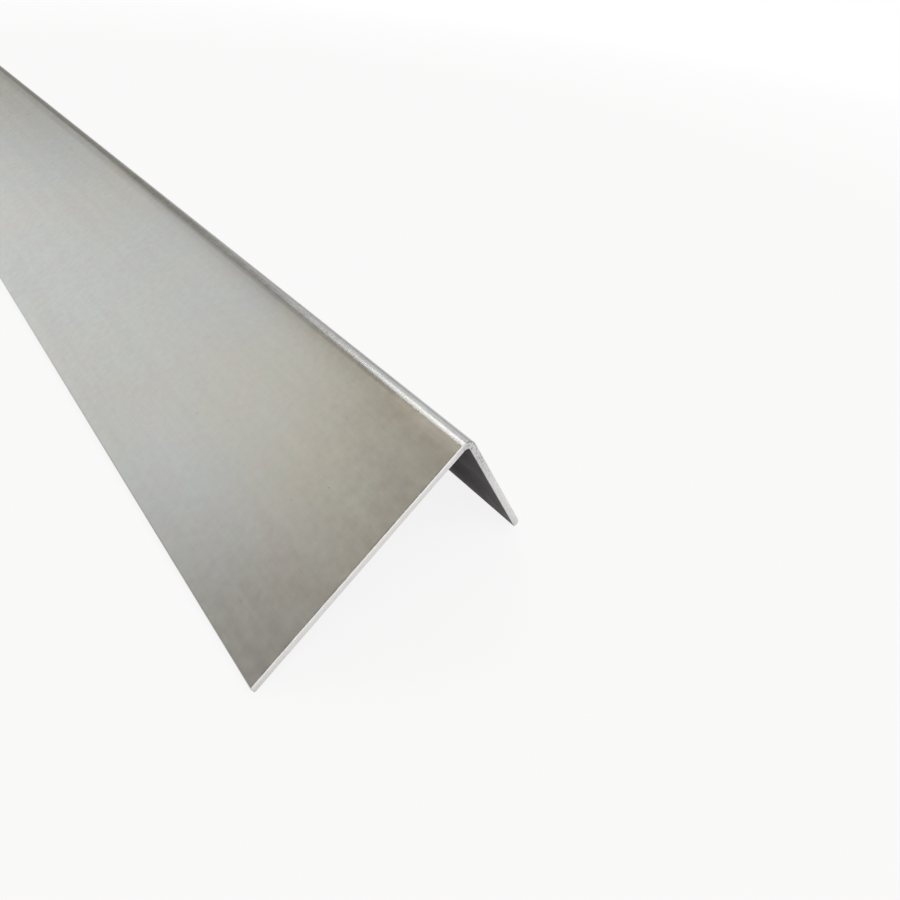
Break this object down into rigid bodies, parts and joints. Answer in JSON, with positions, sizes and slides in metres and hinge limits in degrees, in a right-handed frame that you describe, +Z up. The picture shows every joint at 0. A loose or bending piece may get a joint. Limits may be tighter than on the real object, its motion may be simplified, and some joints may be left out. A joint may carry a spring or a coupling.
{
  "type": "unequal metal angle section",
  "caption": "Length of unequal metal angle, a strip folded square with a rounded heel and square sawn ends, for framing, brackets, edging and corner protection.",
  "frame": {"origin": "centre of the footprint on the floor, under the middle of the length", "axes": "+X along the length, +Z up, the wide leg slopes down towards -Y and the narrow leg down towards +Y, so the part lies on the tips of both legs with its heel up"},
  "size_m": [1, 0.1186, 0.0541],
  "materials": {
    "aluminium_sheet": "satin mill finish, with sawn ends"
  },
  "bodies": {
    "root": {"angle_section": "aluminium_sheet"}
  },
  "joints": []
}
